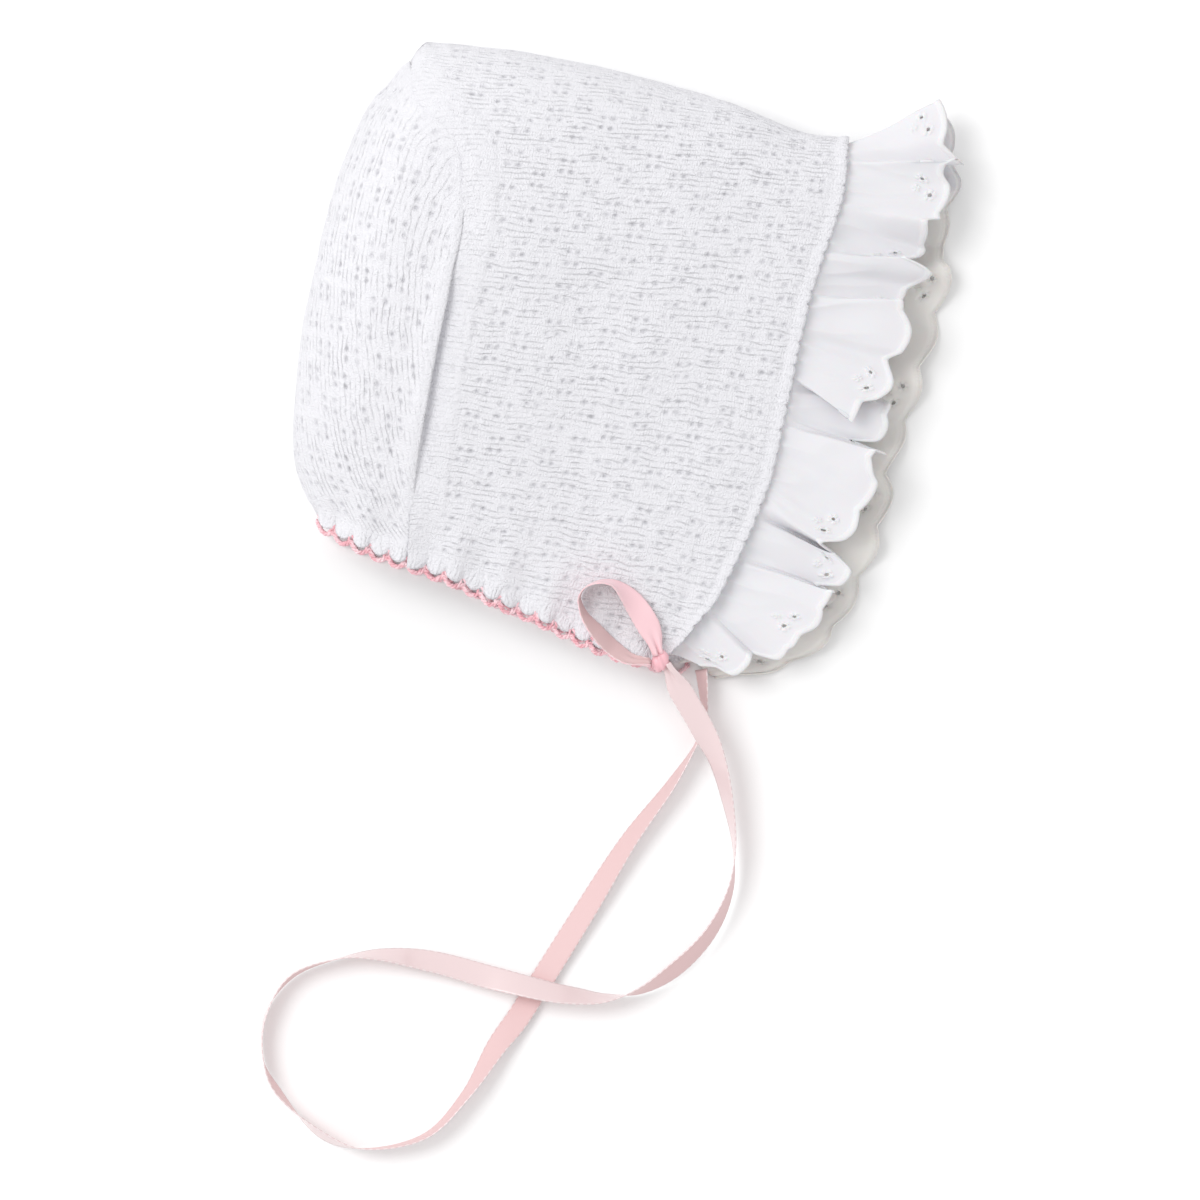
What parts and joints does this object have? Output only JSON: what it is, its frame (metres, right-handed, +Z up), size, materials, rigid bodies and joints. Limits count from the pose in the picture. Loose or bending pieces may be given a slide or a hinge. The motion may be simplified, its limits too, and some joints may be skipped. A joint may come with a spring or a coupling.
{
  "type": "baby bonnet",
  "caption": "Knitted baby bonnet lying on its side, open at the face and neck, with a gathered ruffle round the face, a scalloped neck edging and a satin chin ribbon tied in a bow.",
  "frame": {"origin": "on the ground under the middle of the cloth, with the ribbons left out", "axes": "+X out of the face opening, +Y from the neck to the crown, +Z up from the side that it lies on"},
  "size_m": [0.1872, 0.351, 0.0463],
  "materials": {
    "knit": "soft matt white knit with an openwork pattern",
    "cotton": "white embroidered cotton with eyelets",
    "picot": "pink crochet cotton",
    "satin": "pale pink satin with a soft sheen"
  },
  "bodies": {
    "root": {"side_panel": "knit", "back_panel": "knit", "face_ruffle": "cotton", "neck_edging": "picot", "ribbon_knot": "satin", "bow_loop": "satin", "chin_ribbon": "satin"}
  },
  "joints": []
}
